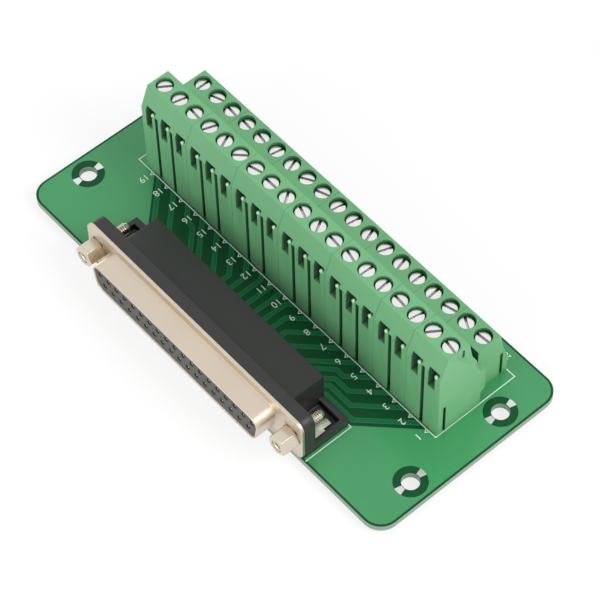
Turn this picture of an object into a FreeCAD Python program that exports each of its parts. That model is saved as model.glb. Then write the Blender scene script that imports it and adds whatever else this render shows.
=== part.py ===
import FreeCAD, Part
import math
import os
import re
import Sketcher

# Adapter board that carries a 37-way right-angle D-sub socket and a two-level row of screw
# terminals, 19 poles on each level. Millimetres. The origin is the middle of the four mounting
# holes on the underside of the board, +X runs along the board, +Y from the socket to the
# terminals and +Z up. The socket faces -Y and both levels take their wires from +Y.

doc = FreeCAD.newDocument("TerminalAdapter")

# Sizes
SIZES = [
    # circuit board
    ("board_end_margin", 10.55),
    ("board_width", 51.7),
    ("board_thickness", 1.6),
    ("board_corner_radius", 4.5),
    ("mount_inset", 4.95),
    ("mount_spacing_short", 25.4),
    ("mount_bore", 4.0),
    ("pin_hole_clearance", 0.15),
    ("pin_reach", 1.4),
    # terminal housings, as heights above the board and depths behind their front face
    ("pole_pitch", 5.0),
    ("housing_gap", 0.04),
    ("terminal_rear_margin", 4.88),
    ("upper_tier_height", 27.15),
    ("front_bevel_drop", 4.5),
    ("front_bevel_depth", 1.5),
    ("upper_top_depth", 7.8),
    ("shoulder_depth", 8.9),
    ("shoulder_drop", 5.9),
    ("lip_depth", 10.4),
    ("lip_drop", 9.2),
    ("upper_rear_depth", 10.7),
    ("upper_rear_height", 15.0),
    ("web_top", 11.6),
    ("web_bottom", 5.3),
    ("arch_depth", 1.2),
    ("lower_front_depth", 13.35),
    ("lower_tier_height", 15.55),
    ("lower_top_depth", 6.25),
    ("lower_neck_depth", 7.2),
    ("lower_neck_height", 10.5),
    ("lower_foot_depth", 8.9),
    ("lower_foot_height", 5.0),
    ("groove_width", 0.95),
    ("groove_depth", 1.1),
    ("groove_top", 21.0),
    ("front_slot_width", 2.0),
    ("front_notch_width", 1.0),
    ("front_notch_height", 2.0),
    ("tongue_width", 0.6),
    ("tongue_depth", 0.55),
    ("tongue_clearance", 0.1),
    ("upper_tongue_depth", 1.8),
    ("upper_tongue_height", 9.3),
    ("lower_tongue_inset", 1.9),
    ("lower_tongue_height", 7.7),
    ("key_depth", 6.3),
    ("key_drop", 1.4),
    ("key_height", 2.4),
    ("key_width", 0.45),
    ("key_reach", 0.35),
    # clamp: screw, rising cage and contact bar
    ("upper_screw_depth", 4.97),
    ("lower_screw_depth", 3.67),
    ("screw_recess", 1.35),
    ("head_diameter", 3.8),
    ("head_height", 1.9),
    ("head_clearance", 0.2),
    ("slot_width", 0.75),
    ("slot_depth", 0.9),
    ("shank_diameter", 2.4),
    ("shank_clearance", 0.1),
    ("seat_gap", 0.1),
    ("shoulder_thickness", 0.6),
    ("cage_travel", 2.2),
    ("cage_width", 4.0),
    ("cage_length", 4.2),
    ("cage_wall", 0.6),
    ("cage_top_wall", 0.9),
    ("cage_floor", 0.7),
    ("wire_space", 3.4),
    ("wire_entry_width", 3.2),
    ("running_gap", 0.1),
    ("bar_width", 1.3),
    ("bar_thickness", 0.8),
    ("riser_thickness", 0.6),
    # D-sub socket
    ("socket_centre_x", -0.3),
    ("socket_centre_height", 6.3),
    ("flange_end", 3.3),
    ("flange_height", 12.5),
    ("flange_corner", 2.2),
    ("flange_thickness", 0.8),
    ("flange_setback", -0.2),
    ("jack_offset", 4.35),
    ("jack_width", 4.8),
    ("jack_reach", 4.15),
    ("jack_bore", 2.85),
    ("jack_bore_depth", 3.6),
    ("stud_diameter", 2.8),
    ("stud_reach", 8.2),
    ("stud_clearance", 0.2),
    ("shell_side_margin", 2.47),
    ("shell_height", 7.9),
    ("shell_reach", 5.15),
    ("shell_wall", 0.4),
    ("shell_corner", 2.4),
    ("shell_slope", 10.0),
    ("shell_clearance", 0.05),
    ("face_recess", 0.35),
    ("contact_pitch", 2.77),
    ("contact_row_spacing", 2.84),
    ("contact_hole", 1.3),
    ("contact_width", 0.6),
    ("contact_setback", 2.0),
    ("tail_row_depth", 7.55),
    ("tail_row_spacing", 2.54),
    ("collar_depth", 3.05),
    ("collar_inset", 0.2),
    ("hood_inset", 0.2),
    ("hood_height", 10.0),
    ("hood_depth", 12.95),
    ("hood_wall", 1.2),
    ("foot_height", 2.6),
    ("foot_wall", 1.1),
    ("foot_floor", 0.8),
    ("foot_block", 1.6),
    ("strap_thickness", 0.4),
    ("strap_width", 4.4),
    ("strap_tongue_width", 1.7),
    ("strap_length", 6.2),
    ("strap_gap", 0.05),
    ("prong_width", 0.9),
    ("prong_gap", 1.6),
]

POLES = 19
MODULES = [(1, 2), (3, 4), (5, 7), (8, 10), (11, 13), (14, 16), (17, 19)]
CONTACTS_WIDE_ROW = 19
CONTACTS_NARROW_ROW = 18
MIDDLE_POLE = (POLES + 1) / 2

# Sizes that follow from the others. The row of poles sets the board's length, the contacts set
# the shell, and the shell sets its flange, jackscrews and housing.
DERIVED = [
    ("board_length", f"{POLES} * pole_pitch + 2 * board_end_margin"),
    ("mount_spacing_long", "board_length - 2 * mount_inset"),
    ("terminal_front_y", "board_width / 2 - terminal_rear_margin - lower_front_depth - lower_foot_depth"),
    ("shell_width", f"{CONTACTS_WIDE_ROW - 1} * contact_pitch + 2 * shell_side_margin"),
    ("jack_spacing", "shell_width + 2 * jack_offset"),
    ("flange_length", "jack_spacing + 2 * flange_end"),
    ("flange_front_y", "flange_setback - board_width / 2"),
    ("tail_row_front_y", "flange_front_y + tail_row_depth"),
    ("hood_length", "shell_width - 2 * hood_inset"),
    ("hood_rear_y", "flange_front_y + hood_depth"),
    ("strap_foot_width", "flange_length - 2 * collar_inset - 2 * foot_wall - jack_spacing - 2 * strap_gap"),
]
sizes = doc.addObject("Spreadsheet::Sheet", "sizes")
cells = [(alias, str(number)) for alias, number in SIZES]
cells += [(alias, "=" + formula) for alias, formula in DERIVED]
for row, (alias, content) in enumerate(cells, start=1):
    sizes.set(f"A{row}", alias)
    sizes.set(f"B{row}", content)
    sizes.setAlias(f"B{row}", alias)
doc.recompute()

# Small round forms that repeat at every pole have few faces, and the holes that a shank passes
# through under its head have the fewest.
HEAD_SIDES = 10
STUD_SIDES = 12
SHANK_SIDES = 6
SHANK_HOLE_SIDES = 4
CONTACT_HOLE_SIDES = 6

# Each screw was left at its own angle, in degrees from +X, from pole 1 to pole 19.
UPPER_SLOT_ANGLES = [170, 55, 80, 175, 95, 90, 165, 175, 120, 160, 125, 0, 15, 45, 115, 70, 175, 75, 55]
LOWER_SLOT_ANGLES = [5, 150, 15, 95, 90, 105, 70, 110, 80, 80, 20, 30, 110, 80, 170, 175, 175, 20, 90]

ALIAS = re.compile(r"\b(" + "|".join(alias for alias, content in cells) + r")\b")
PLANE_ROLES = {"XY": "XY_Plane", "XZ": "XZ_Plane", "YZ": "YZ_Plane"}


def bound(text):
    """The expression with every size's name turned into a reference to its cell."""
    return ALIAS.sub(r"sizes.\1", text)


def measure(text):
    """The expression's value now, for the first place of a sketch's points."""
    return float(sizes.evalExpression(bound(text)))


def rectangle(x_low, x_high, y_low, y_high):
    return [(x_low, y_low), (x_high, y_low), (x_high, y_high), (x_low, y_high)]


def rounded_rectangle(x_low, x_high, y_low, y_high, radius):
    return [
        (f"{x_low} + {radius}", y_low),
        (f"{x_high} - {radius}", y_low, radius),
        (x_high, f"{y_low} + {radius}"),
        (x_high, f"{y_high} - {radius}", radius),
        (f"{x_high} - {radius}", y_high),
        (f"{x_low} + {radius}", y_high, radius),
        (x_low, f"{y_high} - {radius}"),
        (x_low, f"{y_low} + {radius}", radius),
    ]


def around(middle, width):
    """The two ends of a width that is centred on middle."""
    return f"({middle}) - ({width}) / 2", f"({middle}) + ({width}) / 2"


def polygon(x, y, across_corners, sides, turn=0.0):
    points = []
    for corner in range(sides):
        angle = math.radians(turn + 360.0 * corner / sides)
        reach = f"({across_corners}) / 2"
        points.append((f"{x} + {reach} * ({math.cos(angle):.6f})", f"{y} + {reach} * ({math.sin(angle):.6f})"))
    return points


def faceted_hole(x, y, diameter, sides):
    """A hole of few faces whose flats lie on the diameter, so that a round bar clears it."""
    return polygon(x, y, f"({diameter}) / {math.cos(math.pi / sides):.6f}", sides, 180.0 / sides)


def arc_between(start, end, radius):
    """The short arc from start to end, turning left, as every rounded corner here does."""
    chord = end - start
    left = FreeCAD.Vector(-chord.y, chord.x, 0).normalize()
    rise = radius - math.sqrt(max(radius ** 2 - (chord.Length / 2) ** 2, 0))
    return Part.Arc(start, start + chord / 2 - left * rise, end)


def sketch(body, name, plane, height, loops):
    """A sketch on one of the body's own planes. A loop is one circle, as (x, y, diameter), or a
    list of corners, as (x, y), where (x, y, radius) starts an arc that ends at the next corner."""
    drawing = body.newObject("Sketcher::SketchObject", name)
    support = next(f for f in body.Origin.OriginFeatures if f.Role == PLANE_ROLES[plane])
    drawing.AttachmentSupport = (support, [""])
    drawing.MapMode = "FlatFace"
    drawing.setExpression("AttachmentOffset.Base.z", bound(height))
    shapes = []
    dimensions = []
    joins = []
    bindings = []
    for loop in loops:
        first = len(shapes)
        if isinstance(loop, tuple):
            x, y, diameter = loop
            centre = FreeCAD.Vector(measure(x), measure(y), 0)
            shapes.append(Part.Circle(centre, FreeCAD.Vector(0, 0, 1), measure(diameter) / 2))
            dimensions.append(Sketcher.Constraint("DistanceX", first, 3, centre.x))
            dimensions.append(Sketcher.Constraint("DistanceY", first, 3, centre.y))
            dimensions.append(Sketcher.Constraint("Diameter", first, measure(diameter)))
            bindings += [x, y, diameter]
            continue
        count = len(loop)
        corners = [FreeCAD.Vector(measure(corner[0]), measure(corner[1]), 0) for corner in loop]
        for i, corner in enumerate(loop):
            start = corners[i]
            end = corners[(i + 1) % count]
            dimensions.append(Sketcher.Constraint("DistanceX", first + i, 1, start.x))
            dimensions.append(Sketcher.Constraint("DistanceY", first + i, 1, start.y))
            bindings += [corner[0], corner[1]]
            if len(corner) == 3:
                radius = measure(corner[2])
                shapes.append(arc_between(start, end, radius))
                dimensions.append(Sketcher.Constraint("Radius", first + i, radius))
                bindings.append(corner[2])
            else:
                shapes.append(Part.LineSegment(start, end))
            joins.append(Sketcher.Constraint("Coincident", first + i, 2, first + (i + 1) % count, 1))
    drawing.addGeometry(shapes)
    drawing.addConstraint(dimensions)
    drawing.addConstraint(joins)
    for index, text in enumerate(bindings):
        drawing.setExpression(f"Constraints[{index}]", bound(text))
    return drawing


def new_body(name):
    body = doc.addObject("PartDesign::Body", name)
    body.AllowCompound = True
    return body


def pad(body, name, plane, height, length, loops):
    """Adds the loops' prism, from height along the plane's normal: +Z, -Y or +X."""
    feature = body.newObject("PartDesign::Pad", name)
    feature.Profile = (sketch(body, name + "Sketch", plane, height, loops), [""])
    feature.setExpression("Length", bound(length))
    return feature


def pocket(body, name, plane, height, length, loops):
    """Cuts the loops' prism, from height along the plane's normal: +Z, -Y or +X."""
    feature = body.newObject("PartDesign::Pocket", name)
    feature.Profile = (sketch(body, name + "Sketch", plane, height, loops), [""])
    feature.Reversed = True
    feature.setExpression("Length", bound(length))
    return feature


def repeat(body, name, feature, pitch, count):
    """Repeats one feature along +X of its own sketch."""
    doc.recompute()
    pattern = body.newObject("PartDesign::LinearPattern", name)
    pattern.Originals = [feature]
    pattern.Direction = (feature.Profile[0], ["H_Axis"])
    pattern.setExpression("Length", bound(f"{pitch} * {count - 1}"))
    pattern.Occurrences = count
    body.Tip = pattern
    return pattern


def copy_of(master, name, x, y, z, turn=0.0):
    """A copy of a finished piece at x, y, z, turned about its own upright axis."""
    piece = doc.addObject("Part::Compound", name)
    piece.Links = [master]
    piece.Placement = FreeCAD.Placement(FreeCAD.Vector(), FreeCAD.Rotation(FreeCAD.Vector(0, 0, 1), turn))
    piece.setExpression("Placement.Base.x", bound(x))
    piece.setExpression("Placement.Base.y", bound(y))
    piece.setExpression("Placement.Base.z", bound(z))
    return piece


def group(name, pieces):
    """Like pieces that share one node."""
    gathered = doc.addObject("Part::Compound", name)
    gathered.Links = pieces
    return gathered


NODES = []


def node(piece, label):
    piece.Label = label
    NODES.append(piece)


# Places that several pieces share. The two rows of poles are shifted by half a pitch, so that
# they stand symmetrically on the board, and each clamp hangs from the top of its screw head.
BOARD_TOP = "board_thickness"
UPPER_Y = "(terminal_front_y + upper_screw_depth)"
LOWER_Y = "(terminal_front_y + lower_front_depth + lower_screw_depth)"
UPPER_HEAD = "(board_thickness + upper_tier_height - screw_recess)"
LOWER_HEAD = "(board_thickness + lower_tier_height - screw_recess)"
RECESS_FLOOR = "(0 - head_height - seat_gap)"
CAVITY_TOP = f"({RECESS_FLOOR} - shoulder_thickness)"
CAGE_TOP = f"({CAVITY_TOP} - cage_travel)"
CAGE_CEILING = f"({CAGE_TOP} - cage_top_wall)"
BAR_TOP = f"({CAGE_CEILING} - running_gap)"
BAR_UNDERSIDE = f"({BAR_TOP} - bar_thickness)"
WIRE_FLOOR = f"({BAR_UNDERSIDE} - wire_space)"
CAGE_BOTTOM = f"({WIRE_FLOOR} - cage_floor)"
RISER_REAR = "(0 - cage_length / 2 - running_gap)"
RISER_FRONT = f"({RISER_REAR} - riser_thickness)"
CAVITY_FRONT = f"({RISER_FRONT} - running_gap)"
CAVITY_REAR = "(cage_length / 2 + running_gap)"
RISER_MIDDLE = f"({RISER_REAR} - riser_thickness / 2)"


def upper_x(pole):
    return f"({MIDDLE_POLE - pole} * pole_pitch + pole_pitch / 4)"


def lower_x(pole):
    return f"({MIDDLE_POLE - pole} * pole_pitch - pole_pitch / 4)"


# Terminal housings: moulded blocks of two or three poles. The tall tier carries the upper row,
# the low tier behind it the lower row, and a web joins them across a groove.
UPPER_PROFILE = [
    ("0", "0"),
    ("0", "upper_tier_height - front_bevel_drop"),
    ("front_bevel_depth", "upper_tier_height"),
    ("upper_top_depth", "upper_tier_height"),
    ("shoulder_depth", "upper_tier_height - shoulder_drop"),
    ("lip_depth", "upper_tier_height - lip_drop"),
    ("upper_rear_depth", "upper_rear_height"),
    ("lower_front_depth - (lower_front_depth - upper_rear_depth) * 0.6", "(upper_rear_height + web_top * 2) / 3"),
    ("lower_front_depth", "web_top"),
    ("lower_front_depth", "web_bottom"),
    ("lower_front_depth - arch_depth", "web_bottom - arch_depth"),
    ("lower_front_depth - arch_depth", "0"),
]
LOWER_PROFILE = [
    ("0", "0"),
    ("0", "lower_tier_height"),
    ("lower_top_depth", "lower_tier_height"),
    ("lower_neck_depth", "lower_neck_height"),
    ("lower_foot_depth", "lower_foot_height"),
    ("lower_foot_depth", "0"),
]


def placed(profile, depth, height):
    return [(f"terminal_front_y + {depth} + {y}", f"{height} + {z}") for y, z in profile]


def notched_slot(middle):
    """The slot in the front wall at one pole, with a notch beside its upper end."""
    left, right = around(middle, "front_slot_width")
    top = f"{UPPER_HEAD} + {CAVITY_TOP}"
    notch_right = f"{right} + front_notch_width"
    return [
        (left, f"{UPPER_HEAD} + {WIRE_FLOOR}"),
        (right, f"{UPPER_HEAD} + {WIRE_FLOOR}"),
        (right, f"{top} - front_notch_height"),
        (notch_right, f"{top} - front_notch_height"),
        (notch_right, top),
        (left, top),
    ]


def terminal_housing(number, first, last):
    body = new_body(f"Housing{number}")
    poles = range(first, last + 1)
    width = f"{len(poles)} * pole_pitch - housing_gap"
    upper_end = f"{upper_x(last)} - pole_pitch / 2 + housing_gap / 2"
    lower_end = f"{lower_x(last)} - pole_pitch / 2 + housing_gap / 2"
    pad(body, "UpperTier", "YZ", upper_end, width, [placed(UPPER_PROFILE, "0", BOARD_TOP)])
    pad(body, "LowerTier", "YZ", lower_end, width, [placed(LOWER_PROFILE, "lower_front_depth", BOARD_TOP)])

    # Tongues on the left end and their slots in the right end lock neighbours together.
    rear = "(terminal_front_y + lower_front_depth + lower_foot_depth - lower_tongue_inset)"
    ends = [
        ("Upper", upper_end, "terminal_front_y + upper_tongue_depth", "0", "upper_tongue_height", "tongue"),
        ("Lower", lower_end, rear, "0", "lower_tongue_height", "tongue"),
        ("Key", upper_end, "terminal_front_y + key_depth", "upper_tier_height - key_drop - key_height",
         "key_height", "key"),
    ]
    for name, left, y, foot, height, kind in ends:
        reach = "tongue_depth" if kind == "tongue" else "key_reach"
        tongue_y = around(y, f"{kind}_width")
        slot_y = around(y, f"{kind}_width + 2 * tongue_clearance")
        low = f"{BOARD_TOP} + {foot}"
        pad(body, name + "Tongue", "YZ", f"{left} - {reach}", reach,
            [rectangle(*tongue_y, f"{low} + tongue_clearance", f"{low} + {height}")])
        pocket(body, name + "Slot", "YZ", f"{left} + {width} - {reach}", f"{reach} + tongue_clearance",
               [rectangle(*slot_y, low, f"{low} + {height} + tongue_clearance")])

    # Grooves run down the front between the poles of one moulding.
    walls = [rectangle(*around(f"{upper_x(p)} - pole_pitch / 2", "groove_width"), BOARD_TOP,
                       f"{BOARD_TOP} + groove_top") for p in poles[:-1]]
    pocket(body, "Grooves", "XZ", "0 - terminal_front_y - groove_depth", "groove_depth", walls)
    slots = [notched_slot(upper_x(p)) for p in poles]
    front_wall = f"upper_screw_depth + {CAVITY_FRONT}"
    pocket(body, "FrontSlots", "XZ", f"0 - terminal_front_y - ({front_wall})", front_wall, slots)

    tiers = [
        ("Upper", upper_x, UPPER_Y, UPPER_HEAD, "terminal_front_y + upper_rear_depth"),
        ("Lower", lower_x, LOWER_Y, LOWER_HEAD, "terminal_front_y + lower_front_depth + lower_foot_depth"),
    ]
    for tier, pole_x, y, head, rear in tiers:
        wells = [faceted_hole(pole_x(p), y, "head_diameter + 2 * head_clearance", HEAD_SIDES) for p in poles]
        pocket(body, tier + "Wells", "XY", f"{head} + {RECESS_FLOOR}", f"screw_recess - {RECESS_FLOOR}", wells)
        necks = [faceted_hole(pole_x(p), y, "shank_diameter + 2 * shank_clearance", SHANK_HOLE_SIDES) for p in poles]
        pocket(body, tier + "Necks", "XY", f"{head} + {CAVITY_TOP}", "shoulder_thickness", necks)
        rooms = [rectangle(*around(pole_x(p), "cage_width + 2 * running_gap"), f"{y} + {CAVITY_FRONT}",
                           f"{y} + {CAVITY_REAR}") for p in poles]
        pocket(body, tier + "Rooms", "XY", BOARD_TOP, f"{head} + {CAVITY_TOP} - {BOARD_TOP}", rooms)
        entries = [rectangle(*around(pole_x(p), "wire_entry_width"), f"{head} + {WIRE_FLOOR}",
                             f"{head} + {BAR_UNDERSIDE}") for p in poles]
        pocket(body, tier + "Entries", "XZ", f"0 - ({rear})", f"{rear} - ({y} + {CAVITY_REAR})", entries)
    node(body, f"terminal_block_{number}")


for number, (first, last) in enumerate(MODULES, start=1):
    terminal_housing(number, first, last)

# Clamp screw: a slotted cheese head that stays at one height in its well, with a short shank.
# Its own origin is the middle of the top of the head.
screw = new_body("ScrewMaster")
pad(screw, "Head", "XY", "0 - head_height", "head_height", [polygon("0", "0", "head_diameter", HEAD_SIDES)])
pocket(screw, "DriverSlot", "XY", "0 - slot_depth", "slot_depth",
       [rectangle("0 - head_diameter", "head_diameter", *around("0", "slot_width"))])
pad(screw, "Shank", "XY", CAGE_CEILING, f"0 - head_height - {CAGE_CEILING}",
    [polygon("0", "0", "shank_diameter", SHANK_SIDES)])

# Rising cage: a square ring that the screw lifts, so that it presses the wire up on the bar.
cage = new_body("CageMaster")
pad(cage, "Block", "XZ", "0 - cage_length / 2", "cage_length",
    [rectangle(*around("0", "cage_width"), CAGE_BOTTOM, CAGE_TOP)])
pocket(cage, "WireOpening", "XZ", "0 - cage_length / 2", "cage_length",
       [rectangle(*around("0", "cage_width - 2 * cage_wall"), WIRE_FLOOR, CAGE_CEILING)])
pocket(cage, "ThreadedHole", "XY", CAGE_CEILING, "cage_top_wall",
       [faceted_hole("0", "0", "shank_diameter + 2 * shank_clearance", SHANK_HOLE_SIDES)])


# Contact: one bent strip, from the bar that the wire is pressed against, down in front of the
# cage and through the board as the solder tail.
def contact(name, head):
    body = new_body(name)
    tail_end = f"0 - pin_reach - {head}"
    pad(body, "Strip", "YZ", "0 - bar_width / 2", "bar_width", [[
        (RISER_FRONT, tail_end),
        (RISER_REAR, tail_end),
        (RISER_REAR, BAR_UNDERSIDE),
        ("cage_length / 2", BAR_UNDERSIDE),
        ("cage_length / 2", BAR_TOP),
        (RISER_FRONT, BAR_TOP),
    ]])
    return body


rows = [
    ("upper", upper_x, UPPER_Y, UPPER_HEAD, UPPER_SLOT_ANGLES, contact("UpperContactMaster", UPPER_HEAD)),
    ("lower", lower_x, LOWER_Y, LOWER_HEAD, LOWER_SLOT_ANGLES, contact("LowerContactMaster", LOWER_HEAD)),
]
for row, pole_x, y, head, angles, contact_master in rows:
    cages = []
    contacts = []
    for pole, angle in enumerate(angles, start=1):
        place = (pole_x(pole), y, head)
        piece = copy_of(screw, f"{row}Screw{pole}", *place, angle)
        node(piece, f"{row}_screw_{pole}")
        cages.append(copy_of(cage, f"{row}Cage{pole}", *place))
        contacts.append(copy_of(contact_master, f"{row}Contact{pole}", *place))
    node(group(f"{row}Cages", cages), f"{row}_wire_cages")
    node(group(f"{row}Contacts", contacts), f"{row}_terminal_contacts")


# D-sub socket. Its metal front is one drawn sheet: a flange and a D-shaped shell, wide side up.
# Heights along -Y, the socket's own direction, are written as distances from the board's middle.
SOCKET_Z = "(board_thickness + socket_centre_height)"
FLANGE_REAR = "(0 - flange_front_y - flange_thickness)"
COLLAR_REAR = f"({FLANGE_REAR} - collar_depth)"
SHELL_FRONT = "(0 - flange_front_y + shell_reach)"
STUD_HOLE = "stud_diameter + 2 * stud_clearance"


def d_outline(inset):
    """The D, wide side up, its outline moved inwards by inset and its corners rounded."""
    radius = f"(shell_corner - {inset})"
    top = f"{SOCKET_Z} + shell_height / 2 - {inset}"
    bottom = f"{SOCKET_Z} - shell_height / 2 + {inset}"
    lean = f"{inset} / cos(shell_slope)"
    top_half = f"(shell_width / 2 - {lean} - {inset} * tan(shell_slope))"
    bottom_half = f"(shell_width / 2 - {lean} - (shell_height - {inset}) * tan(shell_slope))"
    low_cut = f"{radius} * tan((90 - shell_slope) / 2)"
    high_cut = f"{radius} * tan((90 + shell_slope) / 2)"
    low_side = (f"({bottom_half} + {low_cut} * sin(shell_slope))", f"{bottom} + {low_cut} * cos(shell_slope)")
    high_side = (f"({top_half} - {high_cut} * sin(shell_slope))", f"{top} - {high_cut} * cos(shell_slope)")
    return [
        (f"socket_centre_x - ({bottom_half} - {low_cut})", bottom),
        (f"socket_centre_x + ({bottom_half} - {low_cut})", bottom, radius),
        (f"socket_centre_x + {low_side[0]}", low_side[1]),
        (f"socket_centre_x + {high_side[0]}", high_side[1], radius),
        (f"socket_centre_x + ({top_half} - {high_cut})", top),
        (f"socket_centre_x - ({top_half} - {high_cut})", top, radius),
        (f"socket_centre_x - {high_side[0]}", high_side[1]),
        (f"socket_centre_x - {low_side[0]}", low_side[1], radius),
    ]


def stud_holes():
    return [faceted_hole(f"socket_centre_x {side} jack_spacing / 2", SOCKET_Z, STUD_HOLE, STUD_SIDES)
            for side in ("-", "+")]


shell = new_body("SocketShell")
pad(shell, "Flange", "XZ", FLANGE_REAR, "flange_thickness",
    [rounded_rectangle(*around("socket_centre_x", "flange_length"), *around(SOCKET_Z, "flange_height"),
                       "flange_corner")])
pocket(shell, "FlangeHoles", "XZ", FLANGE_REAR, "flange_thickness", stud_holes())
pad(shell, "Shell", "XZ", "0 - flange_front_y", "shell_reach", [d_outline("0")])
pocket(shell, "ShellBore", "XZ", FLANGE_REAR, f"{SHELL_FRONT} - {FLANGE_REAR}", [d_outline("shell_wall")])
node(shell, "dsub_shell")

# The grey insulator fills the shell almost to its edge, and has a hole for each contact.
wide_row_z = f"{SOCKET_Z} + contact_row_spacing / 2"
narrow_row_z = f"{SOCKET_Z} - contact_row_spacing / 2"
wide_row_left = f"(socket_centre_x - {(CONTACTS_WIDE_ROW - 1) / 2} * contact_pitch)"
narrow_row_left = f"(socket_centre_x - {(CONTACTS_NARROW_ROW - 1) / 2} * contact_pitch)"
insulator = new_body("SocketInsulator")
insulator_length = f"{SHELL_FRONT} - face_recess - {FLANGE_REAR}"
pad(insulator, "Face", "XZ", FLANGE_REAR, insulator_length, [d_outline("(shell_wall + shell_clearance)")])
wide_hole = pocket(insulator, "WideHole", "XZ", FLANGE_REAR, insulator_length,
                   [polygon(wide_row_left, wide_row_z, "contact_hole", CONTACT_HOLE_SIDES)])
repeat(insulator, "WideHoles", wide_hole, "contact_pitch", CONTACTS_WIDE_ROW)
narrow_hole = pocket(insulator, "NarrowHole", "XZ", FLANGE_REAR, insulator_length,
                     [polygon(narrow_row_left, narrow_row_z, "contact_hole", CONTACT_HOLE_SIDES)])
repeat(insulator, "NarrowHoles", narrow_hole, "contact_pitch", CONTACTS_NARROW_ROW)
node(insulator, "dsub_insulator")

# The black housing behind the flange: a collar, a hood over the bent contacts, and a shallow
# tray at each end for the grounding strap.
housing = new_body("SocketHousing")
COLLAR_HALF = "(flange_length / 2 - collar_inset)"
COLLAR_TOP = f"{SOCKET_Z} + flange_height / 2 - collar_inset"
pad(housing, "Collar", "XZ", COLLAR_REAR, "collar_depth", [[
    (f"socket_centre_x - {COLLAR_HALF}", BOARD_TOP),
    (f"socket_centre_x + {COLLAR_HALF}", BOARD_TOP),
    (f"socket_centre_x + {COLLAR_HALF}", f"{COLLAR_TOP} - flange_corner", "flange_corner"),
    (f"socket_centre_x + {COLLAR_HALF} - flange_corner", COLLAR_TOP),
    (f"socket_centre_x - {COLLAR_HALF} + flange_corner", COLLAR_TOP, "flange_corner"),
    (f"socket_centre_x - {COLLAR_HALF}", f"{COLLAR_TOP} - flange_corner"),
]])
pad(housing, "Hood", "XZ", "0 - hood_rear_y", f"{COLLAR_REAR} + hood_rear_y",
    [rectangle(*around("socket_centre_x", "hood_length"), BOARD_TOP, f"{BOARD_TOP} + hood_height")])
for name, side in (("Left", "-"), ("Right", "+")):
    inner = f"socket_centre_x {side} (hood_length / 2 - hood_wall)"
    outer = f"socket_centre_x {side} {COLLAR_HALF}"
    floor_inner = f"socket_centre_x {side} hood_length / 2"
    floor_outer = f"socket_centre_x {side} ({COLLAR_HALF} - foot_wall)"
    spans = [(inner, outer), (floor_inner, floor_outer)]
    if side == "-":
        spans = [(high, low) for low, high in spans]
    pad(housing, name + "Foot", "XY", BOARD_TOP, "foot_height",
        [rectangle(*spans[0], f"0 - {COLLAR_REAR}", "hood_rear_y")])
    pocket(housing, name + "Tray", "XY", f"{BOARD_TOP} + foot_floor", "foot_height - foot_floor",
           [rectangle(*spans[1], f"0 - {COLLAR_REAR}", "hood_rear_y - foot_block")])
pocket(housing, "HoodRoom", "XY", BOARD_TOP, "hood_height - hood_wall",
       [rectangle(*around("socket_centre_x", "hood_length - 2 * hood_wall"), f"0 - {COLLAR_REAR}",
                  "hood_rear_y - hood_wall")])
contact_slots = [
    rectangle(*around("socket_centre_x", f"{CONTACTS_WIDE_ROW - 1} * contact_pitch + 2 * contact_width"),
              *around(wide_row_z, "contact_width + 2 * running_gap")),
    rectangle(*around("socket_centre_x", f"{CONTACTS_NARROW_ROW - 1} * contact_pitch + 2 * contact_width"),
              *around(narrow_row_z, "contact_width + 2 * running_gap")),
]
pocket(housing, "CollarHoles", "XZ", COLLAR_REAR, "collar_depth", contact_slots + stud_holes())

# Prongs of the straps and their holes, measured from the middle of the strap.
STRAP_FLOOR = f"({BOARD_TOP} + foot_floor + strap_gap)"
PRONG_Y = f"(0 - {COLLAR_REAR} + strap_gap + strap_length / 2)"


def prong_outlines(middle, clearance):
    outlines = []
    for side in ("-", "+"):
        x = f"{middle} {side} prong_gap / 2 {side} strap_thickness / 2"
        outlines.append(rectangle(*around(x, f"strap_thickness + 2 * {clearance}"),
                                  *around(PRONG_Y, f"prong_width + 2 * {clearance}")))
    return outlines


prong_holes = [outline for side in ("-", "+")
               for outline in prong_outlines(f"socket_centre_x {side} jack_spacing / 2", "pin_hole_clearance")]
pocket(housing, "TrayHoles", "XY", BOARD_TOP, "foot_floor", prong_holes)
node(housing, "dsub_housing")

# Grounding strap: a bent strip behind the collar, held by the jackscrew's stud. Above the tray it
# widens to a plate round the stud. Its foot lies in the tray, and two prongs go down through the
# board.
strap = new_body("StrapMaster")
strap_rear = f"0 - {COLLAR_REAR} + strap_gap"
pad(strap, "Bend", "YZ", "0 - strap_foot_width / 2", "strap_foot_width", [[
    (strap_rear, STRAP_FLOOR),
    (f"{strap_rear} + strap_length / 2 + prong_width", STRAP_FLOOR),
    (f"{strap_rear} + strap_length / 2 + prong_width", f"{STRAP_FLOOR} + strap_thickness"),
    (f"{strap_rear} + strap_thickness", f"{STRAP_FLOOR} + strap_thickness"),
    (f"{strap_rear} + strap_thickness", f"{SOCKET_Z} + strap_width / 2"),
    (strap_rear, f"{SOCKET_Z} + strap_width / 2"),
]])
pad(strap, "Plate", "XZ", f"0 - ({strap_rear} + strap_thickness)", "strap_thickness",
    [rectangle(*around("0", "strap_width"), f"{BOARD_TOP} + foot_height + strap_gap",
               f"{SOCKET_Z} + strap_width / 2")])
pad(strap, "Tongue", "XY", STRAP_FLOOR, "strap_thickness",
    [rectangle(*around("0", "strap_tongue_width"), f"{strap_rear} + strap_length / 2", f"{strap_rear} + strap_length")])
pad(strap, "Prongs", "XY", "0 - pin_reach", f"{STRAP_FLOOR} + pin_reach", prong_outlines("0", "0"))
pocket(strap, "StudHole", "XZ", f"0 - ({strap_rear} + strap_thickness)", "strap_thickness",
       [faceted_hole("0", SOCKET_Z, STUD_HOLE, STUD_SIDES)])

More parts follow.
